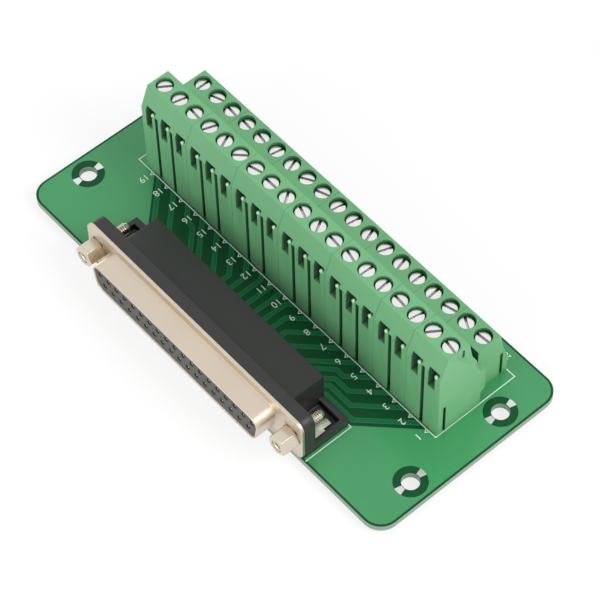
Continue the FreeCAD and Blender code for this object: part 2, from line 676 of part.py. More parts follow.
# Jackscrew: a hexagonal standoff with a threaded bore, and a stud that clamps the flange.
jackscrew = new_body("JackscrewMaster")
pad(jackscrew, "Hexagon", "XZ", "0 - flange_front_y", "jack_reach",
    [polygon("0", SOCKET_Z, "jack_width / cos(30)", 6)])
pad(jackscrew, "Stud", "XZ", "0 - flange_front_y - stud_reach", "stud_reach",
    [polygon("0", SOCKET_Z, "stud_diameter", STUD_SIDES)])
pocket(jackscrew, "Bore", "XZ", "0 - flange_front_y + jack_reach - jack_bore_depth", "jack_bore_depth",
       [("0", SOCKET_Z, "jack_bore")])
for master, label in ((strap, "dsub_grounding_straps"), (jackscrew, "dsub_jackscrews")):
    pair = [copy_of(master, f"{label}{side}", f"socket_centre_x {side} jack_spacing / 2", "0", "0")
            for side in ("-", "+")]
    node(group(label + "Pair", pair), label)


# Socket contacts: square wires that run back through the insulator and bend down to the board.
def socket_contact(name, row_z, tail_y):
    body = new_body(name)
    half = "contact_width / 2"
    front = f"0 - {SHELL_FRONT} + face_recess + contact_setback"
    pad(body, "Wire", "YZ", f"0 - {half}", "contact_width", [[
        (front, f"{row_z} - {half}"),
        (f"{tail_y} - {half}", f"{row_z} - {half}"),
        (f"{tail_y} - {half}", "0 - pin_reach"),
        (f"{tail_y} + {half}", "0 - pin_reach"),
        (f"{tail_y} + {half}", f"{row_z} + {half}"),
        (front, f"{row_z} + {half}"),
    ]])
    return body


TAIL_ROWS = [
    (wide_row_left, wide_row_z, "(tail_row_front_y + tail_row_spacing)", CONTACTS_WIDE_ROW),
    (narrow_row_left, narrow_row_z, "tail_row_front_y", CONTACTS_NARROW_ROW),
]
wires = []
for left, row_z, tail_y, count in TAIL_ROWS:
    master = socket_contact(f"Wire{count}Master", row_z, tail_y)
    for place in range(count):
        wires.append(copy_of(master, f"Wire{count}x{place}", f"{left} + {place} * contact_pitch", "0", "0"))
node(group("Wires", wires), "dsub_contacts")

# Circuit board: a rounded plate with its four mounting holes and a hole for every solder tail.
board = new_body("Board")
pad(board, "Plate", "XY", "0", "board_thickness",
    [rounded_rectangle(*around("0", "board_length"), *around("0", "board_width"), "board_corner_radius")])
mounting_holes = [(f"{x} * mount_spacing_long / 2", f"{y} * mount_spacing_short / 2", "mount_bore")
                  for x in (-1, 1) for y in (-1, 1)]
pocket(board, "MountingHoles", "XY", "0", "board_thickness", mounting_holes)
pocket(board, "ProngHoles", "XY", "0", "board_thickness", prong_holes)
for name, pole_x, y in (("Upper", upper_x, UPPER_Y), ("Lower", lower_x, LOWER_Y)):
    tail_hole = rectangle(*around(pole_x(POLES), "bar_width + 2 * pin_hole_clearance"),
                          *around(f"{y} + {RISER_MIDDLE}", "riser_thickness + 2 * pin_hole_clearance"))
    hole = pocket(board, name + "TailHole", "XY", "0", "board_thickness", [tail_hole])
    repeat(board, name + "TailHoles", hole, "pole_pitch", POLES)
for left, row_z, tail_y, count in TAIL_ROWS:
    wire_hole = rectangle(*around(left, "contact_width + 2 * pin_hole_clearance"),
                          *around(tail_y, "contact_width + 2 * pin_hole_clearance"))
    hole = pocket(board, f"WireHole{count}", "XY", "0", "board_thickness", [wire_hole])
    repeat(board, f"WireHoles{count}", hole, "contact_pitch", count)
node(board, "circuit_board")

# Write
doc.recompute()
for item in doc.Objects:
    if "Invalid" in item.State or "Error" in item.State:
        raise RuntimeError(f"{item.Label} failed: {item.State}")
os.makedirs("parts", exist_ok=True)
for piece in NODES:
    if piece.Shape.isNull() or not piece.Shape.isValid():
        raise RuntimeError(f"{piece.Label} has no valid shape")
for piece in NODES:
    piece.Shape.exportStep(f"parts/{piece.Label}.step")
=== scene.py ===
import math
import bmesh
import bpy
from mathutils import Matrix, Vector


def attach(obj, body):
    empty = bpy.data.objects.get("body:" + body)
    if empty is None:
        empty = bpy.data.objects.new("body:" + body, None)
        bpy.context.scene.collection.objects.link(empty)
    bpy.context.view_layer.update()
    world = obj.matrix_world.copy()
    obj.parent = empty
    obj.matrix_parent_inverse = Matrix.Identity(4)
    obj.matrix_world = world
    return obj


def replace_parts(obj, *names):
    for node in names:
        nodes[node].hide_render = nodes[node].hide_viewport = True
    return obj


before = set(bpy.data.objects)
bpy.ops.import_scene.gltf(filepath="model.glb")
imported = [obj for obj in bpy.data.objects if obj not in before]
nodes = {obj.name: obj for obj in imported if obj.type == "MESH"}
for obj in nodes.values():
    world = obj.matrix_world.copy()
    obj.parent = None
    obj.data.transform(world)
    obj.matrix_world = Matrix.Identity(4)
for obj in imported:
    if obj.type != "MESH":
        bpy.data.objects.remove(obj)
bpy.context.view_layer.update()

MM = 0.001

# Floor, light and camera
# A white table top under a large soft lamp, with the camera where the photographer stood.
# The floor looks white to the camera and keeps the soft shadow of the part.
FLOOR_Z = -1.42 * MM
FLOOR_REACH = 3.0
LENS = 154.7
CAMERA_AT = (0.245405, -0.201357, 0.457846)
CAMERA_RIGHT = (0.65738, 0.75340, -0.01520)
CAMERA_UP = (-0.61483, 0.54791, 0.56725)
CAMERA_BACK = (0.43570, -0.36356, 0.82340)
LAMP_TINT = (1.0, 0.98, 0.95)
LAMPS_AIM = (0, 0, 0.01)


def node_material(name):
    material = bpy.data.materials.new(name)
    material.use_nodes = True
    material.node_tree.nodes.clear()
    return material, material.node_tree.nodes, material.node_tree.links


def seen_directly(tree_nodes, links):
    """One where a ray comes from the camera, a mirror-like surface or glass."""
    path = tree_nodes.new("ShaderNodeLightPath")
    first = tree_nodes.new("ShaderNodeMath")
    first.operation = "MAXIMUM"
    second = tree_nodes.new("ShaderNodeMath")
    second.operation = "MAXIMUM"
    links.new(path.outputs["Is Camera Ray"], first.inputs[0])
    links.new(path.outputs["Is Transmission Ray"], first.inputs[1])
    links.new(first.outputs[0], second.inputs[0])
    links.new(path.outputs["Is Glossy Ray"], second.inputs[1])
    return second.outputs[0]


floor_mesh = bpy.data.meshes.new("floor")
floor_ends = [(-1, -1), (1, -1), (1, 1), (-1, 1)]
floor_corners = [(x * FLOOR_REACH, y * FLOOR_REACH, FLOOR_Z) for x, y in floor_ends]
floor_mesh.from_pydata(floor_corners, [], [(0, 1, 2, 3)])
floor = bpy.data.objects.new("floor", floor_mesh)
bpy.context.scene.collection.objects.link(floor)
floor_paint, floor_nodes, floor_links = node_material("white table")
table_top = floor_nodes.new("ShaderNodeBsdfDiffuse")
table_top.inputs["Color"].default_value = (0.8, 0.8, 0.8, 1)
seen_top = floor_nodes.new("ShaderNodeBsdfDiffuse")
seen_top.inputs["Color"].default_value = (0.26, 0.26, 0.26, 1)
seen_glow = floor_nodes.new("ShaderNodeEmission")
seen_glow.inputs["Strength"].default_value = 0.78
seen_sum = floor_nodes.new("ShaderNodeAddShader")
floor_mix = floor_nodes.new("ShaderNodeMixShader")
floor_out = floor_nodes.new("ShaderNodeOutputMaterial")
floor_links.new(seen_top.outputs[0], seen_sum.inputs[0])
floor_links.new(seen_glow.outputs[0], seen_sum.inputs[1])
floor_links.new(seen_directly(floor_nodes, floor_links), floor_mix.inputs[0])
floor_links.new(table_top.outputs[0], floor_mix.inputs[1])
floor_links.new(seen_sum.outputs[0], floor_mix.inputs[2])
floor_links.new(floor_mix.outputs[0], floor_out.inputs[0])
floor_mesh.materials.append(floor_paint)

world = bpy.data.worlds.new("studio")
world.use_nodes = True
room_nodes, room_links = world.node_tree.nodes, world.node_tree.links
room_nodes.clear()
room_light = room_nodes.new("ShaderNodeBackground")
room_light.inputs["Color"].default_value = (0.96, 0.98, 1.0, 1)
room_light.inputs["Strength"].default_value = 0.55
room_seen = room_nodes.new("ShaderNodeBackground")
room_seen.inputs["Color"].default_value = (1, 1, 1, 1)
room_seen.inputs["Strength"].default_value = 1.0
room_mix = room_nodes.new("ShaderNodeMixShader")
room_out = room_nodes.new("ShaderNodeOutputWorld")
room_links.new(seen_directly(room_nodes, room_links), room_mix.inputs[0])
room_links.new(room_light.outputs[0], room_mix.inputs[1])
room_links.new(room_seen.outputs[0], room_mix.inputs[2])
room_links.new(room_mix.outputs[0], room_out.inputs[0])
bpy.context.scene.world = world


def soft_lamp(name, place, size, watts):
    light = bpy.data.lights.new(name, "AREA")
    light.shape = "SQUARE"
    light.size = size
    light.energy = watts
    light.color = LAMP_TINT
    lamp = bpy.data.objects.new(name, light)
    bpy.context.scene.collection.objects.link(lamp)
    lamp.location = place
    lamp.rotation_mode = "QUATERNION"
    lamp.rotation_quaternion = (Vector(LAMPS_AIM) - Vector(place)).to_track_quat("-Z", "Y")


soft_lamp("key lamp", (0.75, 0.25, 0.75), size=0.5, watts=5.2)
soft_lamp("fill lamp", (0.1, -0.9, 0.45), size=0.7, watts=2.9)

camera_data = bpy.data.cameras.new("photo camera")
camera_data.lens = LENS
camera_data.sensor_fit = "HORIZONTAL"
camera_data.sensor_width = 36.0
camera_data.clip_start = 0.02
camera_data.clip_end = 20.0
camera = bpy.data.objects.new("photo camera", camera_data)
bpy.context.scene.collection.objects.link(camera)
camera.rotation_mode = "QUATERNION"
camera_axes = Matrix((CAMERA_RIGHT, CAMERA_UP, CAMERA_BACK)).transposed()
camera.rotation_quaternion = camera_axes.to_quaternion().normalized()
camera.location = CAMERA_AT
bpy.context.scene.camera = camera
bpy.context.scene.view_settings.view_transform = "Standard"

# Circuit board
# A glass-fibre laminate 1.6 mm thick, routed to shape, with a green solder mask on both faces.
# The cut edge and the drilled holes show the pale bare laminate.
BOARD_TOP = 1.6
MASK_DARK = (0.005, 0.082, 0.028)
LAMINATE = (0.30, 0.42, 0.30)


def textured(name, colour, depth=0.25, metallic=0.0, roughness=0.4, rough_spread=0.1, grain=4000.0,
             bump=0.02, edge=0.0, coat=0.0, coat_roughness=0.1, painted_shade_reach=0.0, painted_shade_darkest=0.3,
             specular=0.5):
    """A finish whose colour, roughness and height vary in fine grains over the surface.
    Grain is in spots per metre, bump in millimetres, edge the softened corner in millimetres.
    Hollows narrower than the given reach, in millimetres, get painted shade: ambient occlusion darkens the
    base colour there, down to the given factor."""
    material, tree_nodes, links = node_material(name)
    place = tree_nodes.new("ShaderNodeTexCoord")
    fine = tree_nodes.new("ShaderNodeTexNoise")
    fine.inputs["Scale"].default_value = grain
    fine.inputs["Detail"].default_value = 3.0
    broad = tree_nodes.new("ShaderNodeTexNoise")
    broad.inputs["Scale"].default_value = grain / 25.0
    broad.inputs["Detail"].default_value = 2.0
    links.new(place.outputs["Object"], fine.inputs["Vector"])
    links.new(place.outputs["Object"], broad.inputs["Vector"])
    shade = tree_nodes.new("ShaderNodeMapRange")
    shade.inputs["To Min"].default_value = 1.0 - depth / 2
    shade.inputs["To Max"].default_value = 1.0 + depth / 2
    links.new(broad.outputs["Fac"], shade.inputs["Value"])
    tint = tree_nodes.new("ShaderNodeVectorMath")
    tint.operation = "SCALE"
    tint.inputs[0].default_value = colour
    links.new(shade.outputs["Result"], tint.inputs["Scale"])
    rough = tree_nodes.new("ShaderNodeMapRange")
    rough.inputs["To Min"].default_value = max(roughness - rough_spread, 0.02)
    rough.inputs["To Max"].default_value = min(roughness + rough_spread, 1.0)
    links.new(fine.outputs["Fac"], rough.inputs["Value"])
    height = tree_nodes.new("ShaderNodeBump")
    height.inputs["Strength"].default_value = 0.6
    height.inputs["Distance"].default_value = bump * MM
    links.new(fine.outputs["Fac"], height.inputs["Height"])
    if edge > 0:
        corner = tree_nodes.new("ShaderNodeBevel")
        corner.samples = 6
        corner.inputs["Radius"].default_value = edge * MM
        links.new(corner.outputs["Normal"], height.inputs["Normal"])
    surface = tree_nodes.new("ShaderNodeBsdfPrincipled")
    surface.inputs["Metallic"].default_value = metallic
    surface.inputs["Specular IOR Level"].default_value = specular
    surface.inputs["Coat Weight"].default_value = coat
    surface.inputs["Coat Roughness"].default_value = coat_roughness
    # Painted shade: ambient occlusion darkens the base colour in hollows and corners.
    if painted_shade_reach > 0:
        painted_shade_occlusion = tree_nodes.new("ShaderNodeAmbientOcclusion")
        painted_shade_occlusion.samples = 8
        painted_shade_occlusion.inputs["Distance"].default_value = painted_shade_reach * MM
        dim = tree_nodes.new("ShaderNodeMapRange")
        dim.inputs["From Min"].default_value = 0.12
        dim.inputs["From Max"].default_value = 0.72
        dim.inputs["To Min"].default_value = painted_shade_darkest
        links.new(painted_shade_occlusion.outputs["AO"], dim.inputs["Value"])
        darker = tree_nodes.new("ShaderNodeVectorMath")
        darker.operation = "SCALE"
        links.new(tint.outputs["Vector"], darker.inputs[0])
        links.new(dim.outputs["Result"], darker.inputs["Scale"])
        links.new(darker.outputs["Vector"], surface.inputs["Base Color"])
    else:
        links.new(tint.outputs["Vector"], surface.inputs["Base Color"])
    links.new(rough.outputs["Result"], surface.inputs["Roughness"])
    links.new(height.outputs["Normal"], surface.inputs["Normal"])
    out = tree_nodes.new("ShaderNodeOutputMaterial")
    links.new(surface.outputs["BSDF"], out.inputs["Surface"])
    return material


def cut_edge_shows(material, edge_colour):
    """The upright faces of the board take the colour of the cut laminate."""
    tree_nodes, links = material.node_tree.nodes, material.node_tree.links
    surface = next(n for n in tree_nodes if n.type == "BSDF_PRINCIPLED")
    shape = tree_nodes.new("ShaderNodeNewGeometry")
    split = tree_nodes.new("ShaderNodeSeparateXYZ")
    links.new(shape.outputs["True Normal"], split.inputs[0])
    size = tree_nodes.new("ShaderNodeMath")
    size.operation = "ABSOLUTE"
    links.new(split.outputs["Z"], size.inputs[0])
    level = tree_nodes.new("ShaderNodeMath")
    level.operation = "GREATER_THAN"
    level.inputs[1].default_value = 0.5
    links.new(size.outputs[0], level.inputs[0])
    mix = tree_nodes.new("ShaderNodeMix")
    mix.data_type = "RGBA"
    mix.inputs[6].default_value = (*edge_colour, 1)
    old = surface.inputs["Base Color"].links[0].from_socket
    links.new(level.outputs[0], mix.inputs[0])
    links.new(old, mix.inputs[7])
    links.new(mix.outputs[2], surface.inputs["Base Color"])


mask_over_laminate = textured("green mask over laminate", MASK_DARK, depth=0.3, roughness=0.32,
                              rough_spread=0.06, grain=1500.0, bump=0.012, specular=0.18)
cut_edge_shows(mask_over_laminate, LAMINATE)


def refinish(node, material):
    """The CAD part stays as it is and gets a better finish."""
    mesh = nodes[node].data
    mesh.materials.clear()
    mesh.materials.append(material)


refinish("circuit_board", mask_over_laminate)

# Copper under the mask
# The copper sheets and tracks lie 0.035 mm proud of the laminate, and the mask over them is lighter.
# Tracks fan out from the socket's pins to the terminals.
COPPER_RISE = 0.035
COPPER_SUNK = 0.01
BOARD_HALF = (58.05, 25.85)
BOARD_CORNER = 4.5
COPPER_INSET = 0.5
COPPER_CORNER = BOARD_CORNER - 0.4
HOLE_RING = 3.75
HOLE_PLACES = [(-53.1, -12.7), (53.1, -12.7), (-53.1, 12.7), (53.1, 12.7)]
MASK_LIGHT = (0.050, 0.335, 0.120)
# The mask over the tracks lies on copper as the sheet's does; its darker colour is painted shade from the
# terminal blocks and the socket's hood.
MASK_TRACK_PAINTED_SHADE = (0.014, 0.165, 0.062)
# The area of bare laminate that the tracks cross, from the terminals to under the socket's hood.
FAN_AREA = [(-44.4, 1.6), (-44.4, -0.5), (-31.8, -13.1), (-31.8, -15.0), (25.4, -15.0), (27.5, -12.9),
            (34.9, -12.9), (47.4, -0.4), (47.4, 1.6)]


def flat_shape(name, outlines, low, high):
    """A plate cut to outlines in the board's plane. An outline inside another one is a hole in it."""
    curve = bpy.data.curves.new(name, "CURVE")
    curve.dimensions = "2D"
    curve.fill_mode = "BOTH"
    curve.extrude = (high - low) / 2
    for outline in outlines:
        line = curve.splines.new("POLY")
        line.points.add(len(outline) - 1)
        for point, (x, y) in zip(line.points, outline):
            point.co = (x, y, 0, 1)
        line.use_cyclic_u = True
    flat = bpy.data.objects.new(name, curve)
    bpy.context.scene.collection.objects.link(flat)
    bpy.context.view_layer.update()
    evaluated = flat.evaluated_get(bpy.context.evaluated_depsgraph_get())
    mesh = bpy.data.meshes.new_from_object(evaluated)
    bpy.data.objects.remove(flat)
    mesh.transform(Matrix.Translation((0, 0, (high + low) / 2)))
    mesh.transform(Matrix.Scale(MM, 4))
    mesh.name = name
    return mesh


def as_piece(name, mesh, material, body):
    piece = bpy.data.objects.new(name, mesh)
    bpy.context.scene.collection.objects.link(piece)
    mesh.materials.clear()
    mesh.materials.append(material)
    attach(piece, body)
    return piece


def ring(centre, radius, sides=48, start=0.0, sweep=360.0):
    count = sides if sweep >= 360.0 else sides + 1
    turns = [math.radians(start + sweep * i / sides) for i in range(count)]
    return [(centre[0] + radius * math.cos(t), centre[1] + radius * math.sin(t)) for t in turns]


def rounded_outline(half_x, half_y, radius, steps=8):
    corners = [(half_x - radius, half_y - radius, 0), (radius - half_x, half_y - radius, 90),
               (radius - half_x, radius - half_y, 180), (half_x - radius, radius - half_y, 270)]
    outline = []
    for x, y, start in corners:
        outline += ring((x, y), radius, steps, start, 90.0)
    return outline


def track(points, width):
    """The outline of a copper track of one width along a bent line."""
    left, right = [], []
    for i, here in enumerate(points):
        before = Vector(points[max(i - 1, 0)])
        after = Vector(points[min(i + 1, len(points) - 1)])
        here = Vector(here)
        first = (here - before).normalized() if i else (after - here).normalized()
        last = (after - here).normalized() if i < len(points) - 1 else first
        middle = (first + last).normalized()
        side = Vector((-middle.y, middle.x))
        stretch = width / 2 / max(middle.dot(last), 0.3)
        left.append(tuple(here + side * stretch))
        right.append(tuple(here - side * stretch))
    return left + right[::-1]


sheet_half_x, sheet_half_y = (half - COPPER_INSET for half in BOARD_HALF)
sheet_outlines = [rounded_outline(sheet_half_x, sheet_half_y, COPPER_CORNER)]
sheet_outlines += [ring(place, HOLE_RING) for place in HOLE_PLACES]
mask_over_copper = textured("green mask over copper", MASK_LIGHT, depth=0.12, roughness=0.34,
                            rough_spread=0.06, grain=1500.0, bump=0.012, coat=0.25)
top_copper = flat_shape("copper sheet", sheet_outlines + [FAN_AREA], BOARD_TOP - COPPER_SUNK,
                        BOARD_TOP + COPPER_RISE)
as_piece("board_copper_sheet", top_copper, mask_over_copper, "carrier")
under_copper = flat_shape("copper under", sheet_outlines, -COPPER_RISE, COPPER_SUNK)
as_piece("board_copper_under", under_copper, mask_over_copper, "carrier")

POLES = range(1, 20)
MIDDLE_POLE = 10
POLE_PITCH = 5
PIN_SHIFT = 1.25
TRACK_WIDTH = 1.15
TRACK_STEP = 2.77
COLUMN_SHIFT = 0.1
PAD_Y = 1.19
BEND_Y = 0.5
UNDER_HOOD_Y = -14.2
# The rim along both edges of each track is lighter green: a painted highlight on the tracks' raised edges.
MASK_RIM_PAINTED_HIGHLIGHT = (0.035, 0.26, 0.10)
# The first four tracks run in rows in front of the pole numbers: the row's Y and its far end.
ROW_ENDS = {1: (-11.7, 25.6), 2: (-9.6, 24.4), 3: (-7.6, 24.1), 4: (-5.9, 22.5)}
# One track steps aside half way: its pole, the step's Y and its length.
JOG_POLE, JOG_Y, JOG_LENGTH = 17, -4.65, 2.2


def upper_pin_x(pole):
    return (MIDDLE_POLE - pole) * POLE_PITCH + PIN_SHIFT


def lower_pin_x(pole):
    return (MIDDLE_POLE - pole) * POLE_PITCH - PIN_SHIFT


def track_route(pole):
    """A track's bends, from the terminal's pin to under the hood. Tracks slant at 45 degrees."""
    pin_x = upper_pin_x(pole)
    column = TRACK_STEP * (MIDDLE_POLE - pole) - COLUMN_SHIFT
    start = [(pin_x, PAD_Y), (pin_x, BEND_Y)]
    if pole in ROW_ENDS:
        row_y, row_end = ROW_ENDS[pole]
        start += [(pin_x - BEND_Y + row_y, row_y), (row_end, row_y)]
        return start + [(row_end - row_y + UNDER_HOOD_Y, UNDER_HOOD_Y)]
    if pole == JOG_POLE:
        start += [(pin_x + BEND_Y - JOG_Y, JOG_Y), (pin_x + BEND_Y - JOG_Y + JOG_LENGTH, JOG_Y)]
        return start + [(pin_x + BEND_Y - UNDER_HOOD_Y + JOG_LENGTH, UNDER_HOOD_Y)]
    slant = abs(column - pin_x)
    if BEND_Y - slant > UNDER_HOOD_Y:
        return start + [(column, BEND_Y - slant), (column, UNDER_HOOD_Y)]
    side = 1 if pole > MIDDLE_POLE else -1
    return start + [(pin_x + side * (BEND_Y - UNDER_HOOD_Y), UNDER_HOOD_Y)]


# Painted shade: the tracks' mask is darker than the copper sheet's.
mask_over_track_painted_shade = textured("green mask over tracks with painted shade", MASK_TRACK_PAINTED_SHADE, depth=0.2, roughness=0.3,
                           rough_spread=0.06, grain=1500.0, bump=0.012, specular=0.18)
# Painted highlight along the tracks' edges.
mask_rim_painted_highlight = textured("green mask on track edges, painted highlight", MASK_RIM_PAINTED_HIGHLIGHT, depth=0.1, roughness=0.3,
                       rough_spread=0.06, grain=1500.0, bump=0.012, specular=0.18)
RIM_WIDTH = 0.12
RIM_DROP = 0.01
rim_highlight_outlines = []
track_outlines = []
for pole in POLES:
    route = track_route(pole)
    track_outlines.append(track(route, TRACK_WIDTH - 2 * RIM_WIDTH))
    rim_highlight_outlines.append(track(route, TRACK_WIDTH))
rim_highlights = flat_shape("track edges", rim_highlight_outlines, BOARD_TOP - COPPER_SUNK, BOARD_TOP + COPPER_RISE - RIM_DROP)
as_piece("board_track_edges", rim_highlights, mask_rim_painted_highlight, "carrier")
tracks = flat_shape("tracks", track_outlines, BOARD_TOP - COPPER_SUNK, BOARD_TOP + COPPER_RISE)
as_piece("board_tracks", tracks, mask_over_track_painted_shade, "carrier")

# Tinned lands at the mounting holes
# Each hole has a bare ring in the copper and two tinned wedges of copper left free of the mask.
# Solder has been levelled on them with hot air, so they are bright and slightly domed.
LAND_INNER = 2.15
LAND_HALF_ANGLE = 15.0
LAND_RISE = 0.06
land_outlines = []
for hole_x, hole_y in HOLE_PLACES:
    for facing in (90.0, 270.0):
        outer = ring((hole_x, hole_y), HOLE_RING, 6, facing - LAND_HALF_ANGLE, 2 * LAND_HALF_ANGLE)
        inner = ring((hole_x, hole_y), LAND_INNER, 4, facing - LAND_HALF_ANGLE, 2 * LAND_HALF_ANGLE)
        land_outlines.append(outer + inner[::-1])
tinned = textured("levelled tin", (0.78, 0.78, 0.76), depth=0.12, metallic=1.0, roughness=0.32,
                  rough_spread=0.1, grain=2500.0, bump=0.02)
as_piece("board_lands", flat_shape("lands", land_outlines, BOARD_TOP, BOARD_TOP + LAND_RISE),
         tinned, "carrier")

# Printed legend
# White ink screened on the mask: the outlines of both connectors, a pointer at each pole, and the
# pole numbers, which read from the socket's side.
INK_RISE = 0.05
INK_START = 0.005
LINE = 0.22
TERMINAL_LEFT, TERMINAL_RIGHT = -48.75, 48.75
TERMINAL_FRONT, TERMINAL_REAR = -1.68, 20.95
SOCKET_LINES = [[(34.0, -13.1), (35.2, -13.1), (35.2, -25.6)],
                [(-35.3, -13.1), (-36.5, -13.1), (-36.5, -25.6)],
                [(28.6, -13.1), (30.8, -13.1)]]
POINTER_SHIFT = 0.15
POINTER_LENGTH = 1.0
POINTER_HALF = 0.68
POINTER_EYE_HALF = 0.32
POINTER_EYE = (0.22, 0.68)
NUMBER_SHIFT = 1.2
NUMBER_Y = -4.3
NUMBER_SIZE = 2.35
NUMBER_TURN = -90
REAR_NUMBER_SHIFT = 0.15
REAR_NUMBER_Y = 23.4
REAR_NUMBER_SIZE = 1.8
REAR_NUMBER_TURN = 180
white_ink = textured("white legend ink", (0.93, 0.98, 0.94), depth=0.06, roughness=0.55, rough_spread=0.1,
                     grain=6000.0, bump=0.01)


def frame_line(left, front, right, rear):
    """The outer and inner outlines of a printed rectangle."""
    loops = []
    for grow in (LINE / 2, -LINE / 2):
        loops.append([(left - grow, front - grow), (right + grow, front - grow),
                      (right + grow, rear + grow), (left - grow, rear + grow)])
    return loops


ink_outlines = frame_line(TERMINAL_LEFT, TERMINAL_FRONT, TERMINAL_RIGHT, TERMINAL_REAR)
ink_outlines += [track(line, LINE) for line in SOCKET_LINES]
legend_lines = flat_shape("legend outlines", ink_outlines, BOARD_TOP + INK_START, BOARD_TOP + INK_RISE)
as_piece("legend_outlines", legend_lines, white_ink, "carrier")

pointer_outlines = []
for pole in POLES:
    mark_x = upper_pin_x(pole) + POINTER_SHIFT
    base_y = TERMINAL_FRONT - 0.02
    eye_y, eye_tip_y = (TERMINAL_FRONT - drop for drop in POINTER_EYE)
    pointer_outlines.append([(mark_x - POINTER_HALF, base_y), (mark_x, TERMINAL_FRONT - POINTER_LENGTH),
                             (mark_x + POINTER_HALF, base_y)])
    pointer_outlines.append([(mark_x - POINTER_EYE_HALF, eye_y), (mark_x, eye_tip_y),
                             (mark_x + POINTER_EYE_HALF, eye_y)])
pointers = flat_shape("legend pointers", pointer_outlines, BOARD_TOP + 2 * INK_START, BOARD_TOP + INK_RISE)
as_piece("legend_pointers", pointers, white_ink, "carrier")


def number_mesh(label, centre, size, turn):
    """A printed number, written along the turn's direction."""
    writing = bpy.data.curves.new("number", "FONT")
    writing.body = label
    writing.size = size
    writing.align_x = "CENTER"
    writing.align_y = "CENTER"
    writing.extrude = (INK_RISE - INK_START) / 2
    shown = bpy.data.objects.new("number", writing)
    bpy.context.scene.collection.objects.link(shown)
    bpy.context.view_layer.update()
    mesh = bpy.data.meshes.new_from_object(shown.evaluated_get(bpy.context.evaluated_depsgraph_get()))
    bpy.data.objects.remove(shown)
    mesh.transform(Matrix.Rotation(math.radians(turn), 4, "Z"))
    mesh.transform(Matrix.Translation((centre[0], centre[1], BOARD_TOP + INK_START + INK_RISE / 2)))
    mesh.transform(Matrix.Scale(MM, 4))
    return mesh


numbers = bmesh.new()
for pole in POLES:
    place = ((MIDDLE_POLE - pole) * POLE_PITCH + NUMBER_SHIFT, NUMBER_Y)
    numbers.from_mesh(number_mesh(str(pole), place, NUMBER_SIZE, NUMBER_TURN))
for pole in POLES[:-1]:
    place = (lower_pin_x(pole) + REAR_NUMBER_SHIFT, REAR_NUMBER_Y)
    numbers.from_mesh(number_mesh(str(pole + len(POLES)), place, REAR_NUMBER_SIZE, REAR_NUMBER_TURN))
number_plate = bpy.data.meshes.new("pole numbers")
numbers.to_mesh(number_plate)
numbers.free()
as_piece("legend_numbers", number_plate, white_ink, "carrier")

# Terminal housings
# Seven blocks moulded in green polyamide stand side by side, each with two levels of poles.
# A round well leads down to each screw. The tops and the sloping face are trimmed to where the
# photograph has them, the upper end of each front slot is closed, and the corners are slightly soft.
MODULES = [(1, 2), (3, 4), (5, 7), (8, 10), (11, 13), (14, 16), (17, 19)]
UPPER_Y, LOWER_Y = 3.69, 15.74
UPPER_HEAD, LOWER_HEAD = 27.4, 15.8
UPPER_TOP, LOWER_TOP = 28.05, 16.6
FRONT_Y = -1.28
SLOPE_FOOT_Z, SLOPE_TOP_Y = 22.5, 0.88
# The trims and fills are outlines of Y and Z. Their outer sides lie clear of the blocks.
UPPER_TRIM = [(-3.0, SLOPE_FOOT_Z), (FRONT_Y - 0.001, SLOPE_FOOT_Z), (SLOPE_TOP_Y, UPPER_TOP),
              (9.0, UPPER_TOP), (9.0, 32.0), (-3.0, 32.0)]
LOWER_TRIM = [(10.8, LOWER_TOP), (28.0, LOWER_TOP), (28.0, 20.0), (10.8, 20.0)]
TRIM_REACH = 60.0
SLOT_CLOSED_Z, SLOT_FILL_TOP = 23.7, 25.4
SLOT_FILL_FRONT, SLOT_FILL_REAR = FRONT_Y + 0.01, 0.6
SLOT_FILL = [(SLOT_FILL_FRONT, SLOT_CLOSED_Z), (SLOT_FILL_REAR, SLOT_CLOSED_Z),
             (SLOT_FILL_REAR, SLOT_FILL_TOP), (SLOT_FILL_FRONT, SLOT_FILL_TOP)]
SLOT_LEFT, SLOT_RIGHT = -1.05, 2.05
PLUG_RADIUS = 2.36
PLUG_LENGTH = 3.2
WELL_RADIUS = 2.02
WELL_DEPTH = 1.98
DRILL_LENGTH = 10.0
ROUND_SIDES = 48
# The green gets painted shade in its screw wells, front slots and the gap between the two levels.
green_polyamide = textured("green polyamide", (0.185, 0.500, 0.235), depth=0.1, roughness=0.46,
                           rough_spread=0.08, grain=5000.0, bump=0.012, edge=0.2, painted_shade_reach=7.0,
                           painted_shade_darkest=0.14)


def merged_copy(node, name):
    """The CAD part's surface with its corners joined, for a piece that stands for it."""
    mesh = nodes[node].data.copy()
    mesh.name = name
    joined = bmesh.new()
    joined.from_mesh(mesh)
    bmesh.ops.remove_doubles(joined, verts=joined.verts, dist=1e-6)
    bmesh.ops.dissolve_limit(joined, angle_limit=math.radians(0.5), verts=joined.verts,
                             edges=joined.edges)
    joined.to_mesh(mesh)
    joined.free()
    return mesh


def smooth_round(mesh, angle=32.0):
    for face in mesh.polygons:
        face.use_smooth = True
    mesh.set_sharp_from_angle(angle=math.radians(angle))


def prisms_along_x(name, prisms):
    """Upright outlines in the YZ plane, each drawn out along X from its left to its right end."""
    corners = []
    faces = []
    for left, right, outline in prisms:
        first = len(corners)
        count = len(outline)
        for side in (left, right):
            corners += [(side * MM, y * MM, z * MM) for y, z in outline]
        faces.append([first + i for i in range(count)][::-1])
        faces.append([first + count + i for i in range(count)])
        for i in range(count):
            j = (i + 1) % count
            faces.append([first + i, first + j, first + count + j, first + count + i])
    mesh = bpy.data.meshes.new(name)
    mesh.from_pydata(corners, [], faces)
    holder = bpy.data.objects.new(name, mesh)
    bpy.context.scene.collection.objects.link(holder)
    return holder


